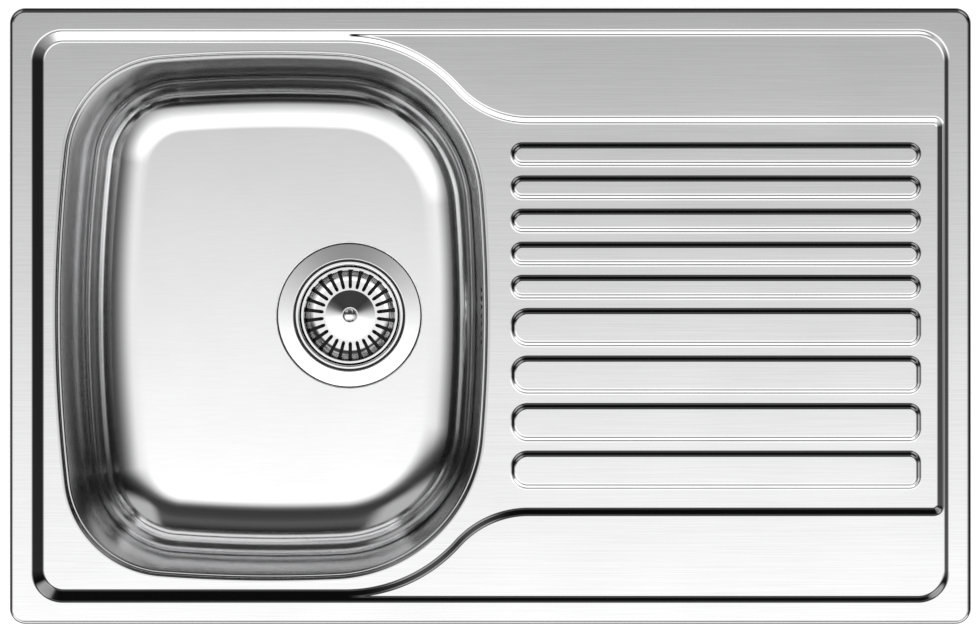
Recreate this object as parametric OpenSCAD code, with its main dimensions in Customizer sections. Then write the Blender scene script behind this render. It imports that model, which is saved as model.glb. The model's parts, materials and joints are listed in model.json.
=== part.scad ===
// Inset kitchen sink: one bowl on the left, a ribbed drainer on the right, with its basket strainer,
// overflow and fixing clamps. Origin: centre of the worktop cut-out, on the worktop's top face. +X is to the
// drainer, +Y to the wall behind the sink, +Z up. Millimetres.

/* [Deck] */
// Overall length, left to right
sink_l = 780; // [760:1:820]
// Overall width, front to back
sink_w = 500; // [490:1:520]
// Corner radius of the outline
corner_r = 13; // [9:1:18]
// Thickness of the stainless sheet
sheet_t = 1; // [0.8:0.1:1.2]
// Height of the rim's flat above the worktop
rim_h = 6; // [5.5:0.5:8]
// Radius of the rim's rounded outer edge
edge_r = 4.5; // [3:0.5:4.5]
// Width of the rim, from the outline to the first step
rim_w = 18.5; // [17:0.5:22]
// Corner radius of the first step
step_r = 25; // [20:1:30]
// Depth of the tap ledge and front ledge below the rim
ledge_depth = 3; // [2:0.5:3.5]
// Depth of the wet area below the rim
pan_depth = 7; // [6:0.5:8]
// Sideways run of a pressed slope for each millimetre that it drops
slope_run = 1.25; // [1:0.05:1.4]
// Sideways run of the slope at the drainer's far end
end_run = 5.5; // [4:0.5:7]

/* [Drainer] */
// Number of narrow ribs, at the back
narrow_ribs = 5; // [3:1:5]
// Number of wide ribs, at the front
wide_ribs = 4; // [2:1:4]
// Width of a narrow rib at its foot
narrow_rib_w = 18.3; // [17:0.1:19]
// Width of a wide rib at its foot
wide_rib_w = 30; // [26:0.5:31]
// Gap between two ribs
rib_gap = 8.6; // [7:0.1:9.5]
// Height of a rib
rib_h = 3; // [2:0.25:3.5]
// Sideways run of a rib's slope
rib_run = 3.3; // [2.5:0.1:4]
// Corner radius at the bowl end of a wide rib
rib_near_r = 13.5; // [10:0.5:15]
// From the bowl's mouth to the ribs
rib_to_bowl = 16.7; // [12:0.1:25]
// From the ribs to the foot of the drainer's end slope
rib_to_end = 16.7; // [10:0.1:25]
// From the outer ribs to the foot of the ledge
rib_to_ledge = 16.3; // [12:0.1:20]
// Radius of a ledge's edge where it follows the bowl's corner
outer_sweep_r = 120; // [100:1:130]
// Radius of a ledge's edge where it turns along the drainer
inner_sweep_r = 80; // [70:1:90]
// From the bowl's mouth to the end of that turn
sweep_end = 31; // [28:0.5:40]

/* [Bowl] */
// Length of the bowl's mouth, left to right
bowl_l = 355.6; // [340:0.1:360]
// From the foot of the front and rear slopes to the bowl's mouth
bowl_side_gap = 6.75; // [6:0.25:18]
// Depth of the bowl below the wet area
bowl_depth = 160; // [140:1:190]
// From the foot of the left slope to the bowl's mouth
bowl_margin = 7.2; // [6:0.1:12]
// Radius of each bowed side
side_r = 1200; // [1000:10:1600]
// Corner radius on the left
left_r = 87; // [80:1:100]
// Corner radius on the right
right_r = 127; // [100:1:140]
// Draft of the walls, in degrees
draft = 3; // [2:0.5:4]
// Radius between wall and floor
floor_r = 36; // [28:1:42]
// Radius of the bend from the deck into the mouth
lip_r = 3.5; // [3:0.1:4]
// Width of the narrow ledge under that bend
lip_ledge = 1.2; // [1:0.1:2]
// Radius of the bend from that ledge into the wall
lip_inner_r = 1.6; // [1.5:0.1:2]

/* [Strainer] */
// From the foot of the bowl's right wall to the pressed recess round the waste
waste_to_wall = 9.9; // [4:0.1:30]
// Width of the recess round the flange's cup
flange_w = 19; // [18:0.5:22]
// Depth of the recess
recess_depth = 3; // [3:0.1:4]
// Inner diameter of the flange's cup; the hole in the bowl follows it
cup_d = 86; // [84:0.5:88]
// Depth of the flange's cup below the bowl's floor
cup_depth = 29; // [27:0.5:34]
// Diameter of the outlet that the stopper closes
seat_d = 48; // [44:1:50]
// Gap all round between the basket's rim and the cup
basket_gap = 2; // [1:0.1:3]
// Depth of the basket's rim below the bowl's floor, with the stopper closed
basket_rim_z = 5; // [4:0.5:8]
// Number of slots in the basket
basket_slots = 26; // [20:1:28]
// Width of a slot
slot_w = 2.4; // [2:0.1:2.8]
// Radius at which the slots begin
slot_r = 23; // [20:0.5:26]
// Diameter of the knob
knob_d = 12.2; // [11:0.1:14]
// Height of the knob above the basket's floor
knob_h = 14; // [12:0.5:15]
// Overlap of the stopper round the outlet
stopper_lap = 3; // [2:0.5:4]
// Diameter of the basket's guide pin
pin_d = 6; // [5:0.5:6.5]
// Diameter of the central screw
strainer_screw_d = 10; // [9:0.5:12]
// Thread diameter of the waste outlet
outlet_d = 47.8; // [45:0.1:49]
// Bore of the waste outlet
outlet_bore_d = 40; // [38:1:41]
// Length of the outlet's thread
outlet_l = 25; // [20:1:35]

/* [Overflow] */
// Number of slots in the bowl's wall
overflow_slots = 7; // [5:1:7]
// Distance between two slots
overflow_pitch = 7.15; // [6.5:0.05:7.5]
// Width of a slot
overflow_slot_w = 4; // [3:0.1:4]
// Height of a slot
overflow_slot_h = 22; // [18:1:26]
// Depth of the slots' top below the wet area
overflow_top = 13; // [12:0.5:18]
// Outer diameter of the overflow pipe
pipe_d = 20; // [18:0.5:21]
// Wall of the overflow pipe
pipe_wall = 1.8; // [1.5:0.1:2.2]
// Radius of the pipe's bend
pipe_bend = 25; // [22:1:30]

/* [Clamps] */
// From the outline to the worktop's cut-out
cutout_inset = 10; // [10:0.5:11]
// From the outline to a clamp's screw
clamp_inset = 20; // [20:0.5:21]
// Position of the outer clamps along the sink
clamp_x = 270; // [240:5:300]
// Thread diameter of a clamp's screw
clamp_screw_d = 5; // [4:0.5:6]
// Travel of a clamp's screw
clamp_travel = 12; // [8:1:12]
// Thickest worktop that a claw reaches under
worktop_max = 40; // [38:1:50]
// Reach of a claw from its screw
claw_reach = 17; // [16:0.5:18]
// Width of a claw
claw_w = 13; // [11:0.5:14]
// Height of a claw's tooth
claw_tooth = 10; // [8:0.5:12]

/* [Hidden] */
$fn = 96;
fine_fn = 360;

// Levels
pan_z = rim_h - pan_depth;
ledge_z = rim_h - ledge_depth;
floor_z = pan_z - bowl_depth;
skirt_z = 0.5;
over = 1;
deep = 12;

// Plan of the deck
step_x = sink_l/2 - rim_w;
step_y = sink_w/2 - rim_w;
pan_run = slope_run*pan_depth;
tub_x = step_x - pan_run;
tub_y = step_y - pan_run;

// Plan of the bowl
bowl_x = -tub_x + bowl_margin + bowl_l/2;
bowl_w = 2*(tub_y - bowl_side_gap);

// Section of the bowl's wall, as distance inwards from the mouth and height
wall_dir = [sin(draft), -cos(draft)];
wall_normal = [cos(draft), sin(draft)];
lip_c = [0, pan_z - lip_r];
inner_c = [lip_r + lip_ledge, pan_z - lip_r - lip_inner_r];
wall_top = inner_c + lip_inner_r*wall_normal;
wall_l = (wall_top.y + floor_r*sin(draft) - floor_z - floor_r)/cos(draft);
fillet_c = wall_top + wall_l*wall_dir + floor_r*wall_normal;
floor_in = ceil(fillet_c.x + 2.5);
wedge_in = floor_in + 8;
function wall_in(z) = wall_top.x + (wall_top.y - z)*tan(draft);

// Strainer, along its own axis
recess_d = cup_d + 2*flange_w;
waste_x = round(100*(bowl_x + bowl_l/2 - fillet_c.x - waste_to_wall - recess_d/2 - sheet_t))/100;
cup_r = cup_d/2;
waste_hole_r = cup_r + sheet_t + 1;
recess_z = floor_z - recess_depth;
seal_t = 1.5;
body_seal_t = 2.5;
flange_z = recess_z + seal_t + sheet_t;
cup_z = floor_z - cup_depth;
hub_z = cup_z - 4;
hub_t = 1.5;
screw_r = strainer_screw_d/2;
head_h = 2;
stopper_gap = 0.3;
stopper_t = 3;
washer_t = 1;
stopper_z = cup_z + stopper_gap;
basket_t = 0.8;
spacer_t = 2;
basket_z = stopper_z + stopper_t + spacer_t + basket_t;
pin_r = pin_d/2;
pin_end_z = hub_z - 6;
fit = 0.06;
body_top_z = recess_z - sheet_t - body_seal_t;
body_r = waste_hole_r + 1;
body_wall = 3;
body_z = cup_z - 15;
body_cone = 6;
boss_z = body_z - 14;

// Overflow, on the bowl's right wall
overflow_z = pan_z - overflow_top - overflow_slot_h/2;
gasket_t = 2.5;
plate_t = 3;
slots_half = ((overflow_slots - 1)*overflow_pitch + overflow_slot_w)/2;
window_half = slots_half + 2.5;
stud_y = window_half + 7;
plate_half = stud_y + 7;
window_h = overflow_slot_h + 5;
plate_h = window_h + 9;
stud_r = 2;
chamber_wall = 2;
wall_out_x = bowl_x + bowl_l/2 - wall_in(overflow_z) + sheet_t/cos(draft);
pipe_r = pipe_d/2;
spigot_bore = pipe_r + 0.1;
spigot_r = pipe_r + 3.5;
spigot_l = 16;
coupling_in = 12;
nut_r = spigot_r + 3.5;
pipe_x = wall_out_x + nut_r + 4;
chamber_out = nut_r + 4 + spigot_r;
chamber_z = overflow_z - window_h/2 - chamber_wall;
spigot_end_z = chamber_z - spigot_l;
inlet_z = body_top_z - 4 - nut_r - 3;
inlet_end_x = waste_x + body_r + body_wall + 20;

// Clamps: position, and the direction that the claw swings out to
clamps = [[[-clamp_x, sink_w/2 - clamp_inset], 90], [[0, sink_w/2 - clamp_inset], 90],
    [[clamp_x, sink_w/2 - clamp_inset], 90], [[sink_l/2 - clamp_inset, 0], 0],
    [[clamp_x, clamp_inset - sink_w/2], -90], [[0, clamp_inset - sink_w/2], -90],
    [[-clamp_x, clamp_inset - sink_w/2], -90], [[clamp_inset - sink_l/2, 0], 180]];
claw_t = 3;
claw_z = -worktop_max - 1 - claw_tooth - claw_t;
bracket_z = claw_z + claw_t + clamp_travel + 8;
screw_tip_z = pan_z - sheet_t - clamp_travel - 0.5;

// Plan of the drainer
ribs_w = narrow_ribs*narrow_rib_w + wide_ribs*wide_rib_w + (narrow_ribs + wide_ribs - 1)*rib_gap;
drainer_y = ribs_w/2 + rib_to_ledge;
drainer_x = step_x - end_run;
rib_x0 = bowl_x + bowl_l/2 + rib_to_bowl;
rib_x1 = drainer_x - rib_to_end;
rib_far_r = narrow_rib_w/2;

// Where a ledge sweeps round the bowl, its edge is two arcs that run into each other. cut_x is where the
// first one starts, to a hundredth.
sweep_sum = outer_sweep_r + inner_sweep_r;
sweep_drop = tub_y - drainer_y;
sweep_x1 = bowl_x + bowl_l/2 + sweep_end;
sweep_x0 = sweep_x1 - sqrt(sweep_sum*sweep_sum - (sweep_sum - sweep_drop)*(sweep_sum - sweep_drop));
cut_x = round(sweep_x0*100)/100;
cut_y = tub_y - outer_sweep_r;
// From here to the right the ledges run beside the wet area
meet_x = cut_x - 10;

// Points along an arc
function arc(c, r, a0, a1, n) = [for (i = [0:n]) let (a = a0 + (a1 - a0)*i/n) c + r*[cos(a), sin(a)]];
function heading(a, b) = atan2(b.y - a.y, b.x - a.x);

// The bowl's outline: four bowed sides of one radius and four corners that run into them.
// A corner's centre is as far inside both sides as their radii differ.
side_c = [[bowl_l/2 - side_r, 0], [0, bowl_w/2 - side_r], [side_r - bowl_l/2, 0], [0, side_r - bowl_w/2]];
corner_rs = [right_r, left_r, left_r, right_r];
function corner_c(i) = let (a = side_c[i], b = side_c[(i + 1)%4], d = norm(b - a), reach = side_r - corner_rs[i],
    u = [b.y - a.y, a.x - b.x]/d) (a + b)/2 - u*sqrt(reach*reach - d*d/4)*sign(u.x*(a.x + b.x) + u.y*(a.y + b.y));
corner_cs = [for (i = [0:3]) corner_c(i)];
function turn(a0, a1) = a0 + (a1 - a0 + 720)%360;
// Each arc is its centre, radius, first and last angle
bowl_arcs = [for (i = [0:3]) for (k = [0, 1]) let (j = (i + 3)%4, n = (i + 1)%4)
    k == 0
    ? let (a0 = heading(side_c[i], corner_cs[j])) [side_c[i], side_r, a0, turn(a0, heading(side_c[i], corner_cs[i]))]
    : let (a0 = heading(side_c[i], corner_cs[i])) [corner_cs[i], corner_rs[i], a0,
        turn(a0, heading(side_c[n], corner_cs[i]))]];

// Neighbouring arcs meet on a line through both centres. This is the point on the line where arc i starts,
// moved outwards by out.
function joint(i, out) = let (s = bowl_arcs[i%8]) s[0] + (s[1] + out)*[cos(s[2]), sin(s[2])];

// The share of arc i in the plan
module wedge(i) {
    s = bowl_arcs[i];
    mid = (s[2] + s[3])/2;
    apex = (s[1] + 15)/cos((s[3] - s[2])/2);
    polygon([joint(i, -wedge_in), joint(i, 15), s[0] + apex*[cos(mid), sin(mid)], joint(i + 1, 15),
        joint(i + 1, -wedge_in)]);
}

// Moves by p in a coarse and a fine step, so that no digit of it is lost
module place(p) {
    coarse = [round(p.x*10)/10, round(p.y*10)/10];
    translate(coarse)
        translate(p - coarse)
            children();
}

// The bowl's outline as a flat shape, drawn in by inset
module bowl_shape(inset) {
    polygon([for (i = [0:7]) joint(i, -wedge_in)]);
    for (i = [0:7])
        intersection() {
            place(bowl_arcs[i][0])
                circle(r = bowl_arcs[i][1] - inset, $fn = fine_fn);
            wedge(i);
        }
}

// Carries a profile round the bowl: its x is the distance inwards from the mouth, its y is height
module along_bowl() {
    for (i = [0:7])
        intersection() {
            place(bowl_arcs[i][0])
                rotate_extrude(start = bowl_arcs[i][2] - 1, angle = bowl_arcs[i][3] - bowl_arcs[i][2] + 2,
                    $fn = fine_fn)
                    translate([bowl_arcs[i][1], 0])
                        mirror([1, 0])
                            children();
            translate([0, 0, floor_z - 10])
                linear_extrude(bowl_depth + 20)
                    wedge(i);
        }
}

// A slab with sloping sides and rounded corners: l by w at its foot, drawn in by run over its height
module tapered_slab(l, w, r, h, run) {
    rotate([90, 0, 90])
        linear_extrude(l - 2*r, center = true)
            polygon([[-w/2, 0], [w/2, 0], [w/2 - run, h], [run - w/2, h]]);
    if (w > 2*r + 0.01)
        rotate([90, 0, 0])
            linear_extrude(w - 2*r, center = true)
                polygon([[-l/2, 0], [l/2, 0], [l/2 - run, h], [run - l/2, h]]);
    for (x = [-1, 1], y = w > 2*r + 0.01 ? [-1, 1] : [0])
        translate([x*(l/2 - r), y*(w/2 - r), 0])
            cylinder(h = h, r1 = r, r2 = r - run);
}

// A plain slab with rounded corners
module rounded_slab(l, w, r, h) {
    linear_extrude(h) {
        square([l - 2*r, w], center = true);
        square([l, w - 2*r], center = true);
        for (x = [-1, 1], y = [-1, 1])
            translate([x*(l/2 - r), y*(w/2 - r)])
                circle(r);
    }
}

// The block of the rim, with its rounded outer edge
module rim_block(l, w, r, edge, top, foot) {
    half = arc([-edge, top - edge], edge, 0, 90, 6);
    rotate([90, 0, 90])
        linear_extrude(l - 2*r, center = true)
            polygon(concat([[-w/2, foot], [w/2, foot]], [for (p = half) p + [w/2, 0]],
                [for (i = [6:-1:0]) [-half[i].x - w/2, half[i].y]]));
    rotate([90, 0, 0])
        linear_extrude(w - 2*r, center = true)
            polygon(concat([[-l/2, foot], [l/2, foot]], [for (p = half) p + [l/2, 0]],
                [for (i = [6:-1:0]) [-half[i].x - l/2, half[i].y]]));
    for (x = [-1, 1], y = [-1, 1])
        translate([x*(l/2 - r), y*(w/2 - r), 0])
            rotate_extrude()
                polygon(concat([[0, foot], [r, foot]], [for (p = half) p + [r, 0]], [[0, top]]));
}

// The hollow inside the rim, in four parts that meet end to end: round the bowl down to the wet area,
// over the ledges, round the two sweeps and along the drainer
module rim_hollow() {
    full = pan_depth + over;
    low = pan_depth - ledge_depth;
    high = ledge_depth + over;
    full_run = slope_run*full;
    tub_r = step_r - pan_run;
    translate([-tub_x + tub_r, 0, pan_z])
        rotate([90, 0, 90])
            linear_extrude(meet_x + tub_x - tub_r)
                hollow_section(tub_y, full, full_run);
    translate([-tub_x, 0, pan_z])
        rotate([90, 0, 0])
            linear_extrude(2*(tub_y - tub_r), center = true)
                polygon([[0, 0], [tub_r + over, 0], [tub_r + over, full], [-full_run, full]]);
    for (y = [-1, 1])
        translate([tub_r - tub_x, y*(tub_y - tub_r), pan_z])
            cylinder(h = full, r1 = tub_r, r2 = tub_r + full_run);
    // Over the ledges
    foot_r = step_r - slope_run*ledge_depth;
    foot_x = step_x - slope_run*ledge_depth;
    foot_y = step_y - slope_run*ledge_depth;
    translate([meet_x, 0, ledge_z])
        rotate([90, 0, 90])
            linear_extrude(foot_x - foot_r - meet_x)
                hollow_section(foot_y, high, slope_run*high);
    translate([foot_x, 0, ledge_z])
        rotate([90, 0, 0])
            linear_extrude(2*(foot_y - foot_r), center = true)
                polygon([[0, 0], [-foot_r - over, 0], [-foot_r - over, high], [slope_run*high, high]]);
    for (y = [-1, 1])
        translate([foot_x - foot_r, y*(foot_y - foot_r), ledge_z])
            cylinder(h = high, r1 = foot_r, r2 = foot_r + slope_run*high);
    // Beside the sweeps
    translate([meet_x, 0, pan_z])
        rotate([90, 0, 90])
            linear_extrude(cut_x - meet_x)
                hollow_section(tub_y, low, slope_run*low);
    translate([cut_x, -cut_y, pan_z])
        cube([sweep_x1 - cut_x, 2*cut_y, low]);
    for (side = [0, 1])
        mirror([0, side, 0])
            translate([0, 0, pan_z])
                ledge_sweep(low, slope_run*low);
    // Along the drainer, up to the rim
    translate([0, 0, pan_z])
        intersection() {
            translate([sweep_x1, 0, 0])
                rotate([90, 0, 90])
                    linear_extrude(sink_l)
                        hollow_section(drainer_y, full, full_run);
            rotate([90, 0, 0])
                linear_extrude(sink_w, center = true)
                    polygon([[-tub_x, 0], [drainer_x, 0], [drainer_x + end_run*full/pan_depth, full],
                        [-tub_x, full]]);
        }
}

module hollow_section(half, h, run) {
    polygon([[-half, 0], [half, 0], [half + run, h], [-half - run, h]]);
}

// The wet area beside one ledge's sweep: inside its first arc, then outside its second
module ledge_sweep(h, run) {
    first = [cut_x, cut_y];
    last = [sweep_x1, drainer_y + inner_sweep_r];
    reach = 1 + 30/outer_sweep_r;
    intersection() {
        place([sweep_x0, cut_y])
            cylinder(h = h, r1 = outer_sweep_r, r2 = outer_sweep_r + run, $fn = fine_fn);
        linear_extrude(h)
            polygon([first, [cut_x, cut_y + outer_sweep_r*reach], first + (last - first)*reach]);
    }
    difference() {
        linear_extrude(h)
            polygon([first, last, [last.x, cut_y]]);
        translate(last)
            cylinder(h = h, r1 = inner_sweep_r, r2 = inner_sweep_r - run, $fn = fine_fn);
    }
}

// One rib, from its foot on the wet area; its near end, by the bowl, may have a larger radius
module rib(w, near_r) {
    sink = 0.5;
    grow = rib_run/rib_h*sink;
    l = rib_x1 - rib_x0;
    translate([(rib_x0 + rib_x1)/2, 0, pan_z - sink]) {
        if (near_r == rib_far_r)
            tapered_slab(l + 2*grow, w + 2*grow, near_r + grow, rib_h + sink, rib_run + grow);
        else
            intersection() {
                tapered_slab(l + 2*grow, w + 2*grow, rib_far_r + grow, rib_h + sink, rib_run + grow);
                translate([near_r, 0, 0])
                    tapered_slab(l + 2*near_r + 2*grow, w + 2*grow, near_r + grow, rib_h + sink, rib_run + grow);
            }
    }
}

module ribs() {
    narrow_pitch = narrow_rib_w + rib_gap;
    wide_pitch = wide_rib_w + rib_gap;
    for (i = [0:narrow_ribs - 1])
        translate([0, ribs_w/2 - narrow_rib_w/2 - i*narrow_pitch, 0])
            rib(narrow_rib_w, rib_far_r);
    for (i = [0:wide_ribs - 1])
        translate([0, wide_rib_w/2 - ribs_w/2 + i*wide_pitch, 0])
            rib(wide_rib_w, rib_near_r);
}

// Everything under the deck's top face; lower and inner give the same for its underside
module deck_block(lower, inner) {
    translate([0, 0, -lower])
        difference() {
            rim_block(sink_l - 2*inner, sink_w - 2*inner, corner_r - inner, edge_r - inner, rim_h, -deep);
            rim_hollow();
        }
}

// The skirt of the rim ends above the worktop
module below_skirt() {
    translate([0, 0, -2*deep])
        difference() {
            rounded_slab(sink_l + 2, sink_w + 2, corner_r, 2*deep + skirt_z);
            translate([0, 0, -1])
                rounded_slab(sink_l - 2*edge_r - 4, sink_w - 2*edge_r - 4, corner_r, 2*deep + skirt_z + 2);
        }
}

module deck_pressing() {
    color("gainsboro")
        difference() {
            union() {
                difference() {
                    deck_block(0, 0);
                    deck_block(sheet_t, sheet_t);
                    below_skirt();
                }
                ribs();
            }
            translate([0, 0, -sheet_t])
                ribs();
            translate([bowl_x, 0, -deep])
                linear_extrude(2*deep)
                    bowl_shape(0);
        }
}

module bowl() {
    color("silver") {
        difference() {
            translate([bowl_x, 0, 0])
                along_bowl()
                    bowl_section();
            overflow_cuts();
        }
        bowl_floor();
    }
}

module bowl_floor() {
    translate([bowl_x, 0, floor_z - sheet_t])
        linear_extrude(sheet_t)
            difference() {
                bowl_shape(floor_in);
                translate([waste_x - bowl_x, 0])
                    circle(r = recess_d/2 + sheet_t, $fn = fine_fn);
            }
    translate([waste_x, 0, 0])
        rotate_extrude($fn = fine_fn)
            polygon([[recess_d/2 + sheet_t, floor_z], [recess_d/2 + 0.6, floor_z],
                [recess_d/2, floor_z - 0.6], [recess_d/2, recess_z], [waste_hole_r, recess_z],
                [waste_hole_r, recess_z - sheet_t], [recess_d/2 + sheet_t, recess_z - sheet_t]]);
}

module overflow_cuts() {
    for (i = [0:overflow_slots - 1])
        translate([bowl_x + bowl_l/2 - 20, (i - (overflow_slots - 1)/2)*overflow_pitch, overflow_z])
            rotate([0, 90, 0])
                linear_extrude(25) {
                    square([overflow_slot_h - overflow_slot_w, overflow_slot_w], center = true);
                    for (e = [-1, 1])
                        translate([e*(overflow_slot_h - overflow_slot_w)/2, 0])
                            circle(d = overflow_slot_w);
                }
}

// The sheet's section from the mouth down to the floor
module bowl_section() {
    t = sheet_t;
    polygon(concat(
        arc(lip_c, lip_r, 90, 0, 6),
        arc(inner_c, lip_inner_r, 90, draft, 4),
        arc(fillet_c, floor_r, 180 + draft, 270, 12),
        [[floor_in, floor_z], [floor_in, floor_z - t]],
        arc(fillet_c, floor_r + t, 270, 180 + draft, 12),
        arc(inner_c, lip_inner_r - t, draft, 90, 4),
        [[lip_r - t, lip_c.y - t]],
        arc(lip_c, lip_r - t, 0, 90, 6)));
}

module rim_seal() {
    outer = edge_r + 0.2;
    inner = cutout_inset - 0.3;
    color("dimgray")
        difference() {
            rounded_slab(sink_l - 2*outer, sink_w - 2*outer, corner_r - outer, rim_h - sheet_t);
            translate([0, 0, -1])
                rounded_slab(sink_l - 2*inner, sink_w - 2*inner, max(corner_r - inner, 1), rim_h + 2);
        }
}

// Places a clamp; turned so that +X points to the side that its claw swings out to
module at_clamp(i) {
    translate(clamps[i - 1][0])
        rotate([0, 0, clamps[i - 1][1]])
            children();
}

module clamp_brackets() {
    color("darkgray")
        for (i = [1:8])
            difference() {
                intersection() {
                    at_clamp(i)
                        translate([-6, -8, bracket_z])
                            cube([12, 16, rim_h - bracket_z]);
                    deck_underside(i);
                }
                at_clamp(i)
                    translate([0, 0, bracket_z - 1])
                        cylinder(h = pan_z - sheet_t - bracket_z + 0.8, r = clamp_screw_d/2 + fit);
            }
}

// What lies under the deck's sheet at one clamp: the slopes of the rim, the ledge and the wet area
module deck_underside(i) {
    across = clamps[i - 1][1] == 90 || clamps[i - 1][1] == -90;
    on_ledge = across && clamps[i - 1][0].x > meet_x;
    pan = i == 4 || i == 8 || !on_ledge;
    run = i == 4 ? end_run/pan_depth : slope_run;
    depth = pan ? pan_depth : ledge_depth;
    at_clamp(i)
        rotate([90, 0, 0])
            linear_extrude(40, center = true)
                polygon([[-30, bracket_z - 1], [-30, rim_h - sheet_t - depth],
                    [clamp_inset - rim_w - run*depth, rim_h - sheet_t - depth],
                    [clamp_inset - rim_w, rim_h - sheet_t], [30, rim_h - sheet_t], [30, bracket_z - 1]]);
}

module clamp_screw(i) {
    head = clamp_screw_d*0.8;
    color("lightsteelblue")
        at_clamp(i)
            difference() {
                union() {
                    translate([0, 0, claw_z - 0.3])
                        cylinder(h = screw_tip_z - claw_z + 0.3, d = clamp_screw_d);
                    translate([0, 0, claw_z - 0.3 - head])
                        cylinder(h = head, d = clamp_screw_d*2, $fn = 6);
                    translate([0, 0, claw_z + claw_t + 0.3])
                        cylinder(h = 1, d = clamp_screw_d + 3);
                }
                translate([-clamp_screw_d, -0.6, claw_z - 0.3 - head - 1])
                    cube([2*clamp_screw_d, 1.2, 2.5]);
            }
}

// A claw at rest lies along the rim
module clamp_claw(i) {
    side = clamps[i - 1][1] == 90 || clamps[i - 1][1] == 180 ? -1 : 1;
    color("lightgray")
        at_clamp(i)
            rotate([0, 0, 90*side])
                difference() {
                    union() {
                        translate([0, 0, claw_z])
                            cylinder(h = claw_t, d = claw_w);
                        translate([0, -claw_w/2, claw_z])
                            cube([claw_reach, claw_w, claw_t]);
                        translate([claw_reach - claw_t, 0, claw_z])
                            rotate([90, 0, 90])
                                linear_extrude(claw_t)
                                    polygon([[-claw_w/2, 0], [claw_w/2, 0], [claw_w/2, claw_t + claw_tooth/2],
                                        [claw_w/4, claw_t + claw_tooth], [-claw_w/4, claw_t + claw_tooth],
                                        [-claw_w/2, claw_t + claw_tooth/2]]);
                    }
                    translate([0, 0, claw_z - 1])
                        cylinder(h = claw_t + 2, r = clamp_screw_d/2 + fit);
                }
}

module on_waste() {
    translate([waste_x, 0, 0])
        children();
}

module strainer_flange() {
    t = sheet_t;
    bend = 2;
    dish = 2.5;
    color("whitesmoke")
        on_waste()
            difference() {
                union() {
                    rotate_extrude($fn = 180)
                        polygon(concat(
                            [[recess_d/2 - 1, flange_z - t], [recess_d/2 - 1, flange_z]],
                            arc([cup_r + bend, flange_z - bend], bend, 90, 180, 5),
                            arc([cup_r - dish, cup_z + dish], dish, 0, -90, 5),
                            [[seat_d/2, cup_z], [seat_d/2, hub_z - hub_t], [seat_d/2 + t, hub_z - hub_t],
                                [seat_d/2 + t, cup_z - t]],
                            arc([cup_r - dish, cup_z + dish], dish + t, -90, 0, 5),
                            arc([cup_r + bend, flange_z - bend], bend - t, 180, 90, 5)));
                    for (a = [0, 90])
                        rotate([0, 0, a])
                            translate([-seat_d/2 - t/2, -2.5, hub_z - hub_t])
                                cube([seat_d + t, 5, hub_t]);
                    translate([0, 0, hub_z - hub_t])
                        cylinder(h = hub_t, r = screw_r + 4);
                }
                translate([0, 0, hub_z - hub_t - 1])
                    cylinder(h = hub_t + 2, r = screw_r + 0.2);
            }
}

module ring(inner, outer, low, high) {
    translate([0, 0, low])
        linear_extrude(high - low)
            difference() {
                circle(r = outer, $fn = 180);
                circle(r = inner, $fn = 180);
            }
}

module flange_seal() {
    color("black")
        on_waste()
            ring(waste_hole_r + 1, recess_d/2 - 1.5, recess_z, recess_z + seal_t);
}

module body_seal() {
    color("black")
        on_waste()
            ring(body_r, body_r + 11, body_top_z, body_top_z + body_seal_t);
}

module strainer_body() {
    w = body_wall;
    bore = outlet_bore_d/2;
    thread = outlet_d/2;
    color("white")
        difference() {
            union() {
                on_waste() {
                    rotate_extrude($fn = 180)
                        polygon([[body_r, body_top_z], [body_r + 12, body_top_z], [body_r + 12, body_top_z - 4],
                            [body_r + w, body_top_z - 4], [body_r + w, body_z], [thread, body_z - body_cone],
                            [thread, body_z - body_cone - outlet_l], [bore, body_z - body_cone - outlet_l],
                            [bore, body_z - body_cone + 2], [body_r, body_z + 2]]);
                    translate([0, 0, boss_z])
                        cylinder(h = hub_z - hub_t - boss_z - 4, r = screw_r + 4);
                    for (a = [45, 135])
                        rotate([0, 0, a])
                            translate([-bore - 1, -1.5, boss_z])
                                cube([2*bore + 2, 3, body_z - body_cone - boss_z]);
                }
                translate([waste_x + body_r + w/2, 0, inlet_z])
                    rotate([0, 90, 0])
                        cylinder(h = inlet_end_x - waste_x - body_r - w/2, r = spigot_r);
            }
            on_waste()
                translate([0, 0, boss_z - 1])
                    cylinder(h = hub_z - boss_z, r = screw_r + 0.05);
            translate([waste_x + body_r - 2, 0, inlet_z])
                rotate([0, 90, 0])
                    cylinder(h = inlet_end_x - waste_x - body_r + 3, r = spigot_bore);
        }
}

module strainer_screw() {
    color("gainsboro")
        on_waste()
            difference() {
                union() {
                    translate([0, 0, boss_z + 1])
                        cylinder(h = hub_z - boss_z - 1, r = screw_r);
                    translate([0, 0, hub_z])
                        cylinder(h = head_h, r = screw_r + 3);
                }
                translate([0, 0, pin_end_z - 1])
                    cylinder(h = hub_z + head_h - pin_end_z + 2, r = pin_r + fit);
            }
}

module basket_cup() {
    t = basket_t;
    r = cup_r - basket_gap;
    top = floor_z - basket_rim_z;
    bend = 5;
    wall_r = r - 5.8;
    rolled = [wall_r + 2.4, top];
    foot = [wall_r - bend, basket_z + bend];
    color("gainsboro")
        on_waste()
            difference() {
                rotate_extrude($fn = 180)
                    polygon(concat(
                        [[r, top - t], [r, top], rolled],
                        arc(foot, bend, 0, -90, 6),
                        [[pin_r + 1, basket_z], [pin_r + 1, basket_z - t]],
                        arc(foot, bend + t, -90, 0, 6),
                        [[rolled.x + t, top - t]]));
                for (i = [0:basket_slots - 1])
                    rotate([0, 0, (i + 0.5)*360/basket_slots])
                        translate([slot_r, -slot_w/2, basket_z - 2])
                            cube([r - slot_r - 3, slot_w, bend + 4]);
            }
}

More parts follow.
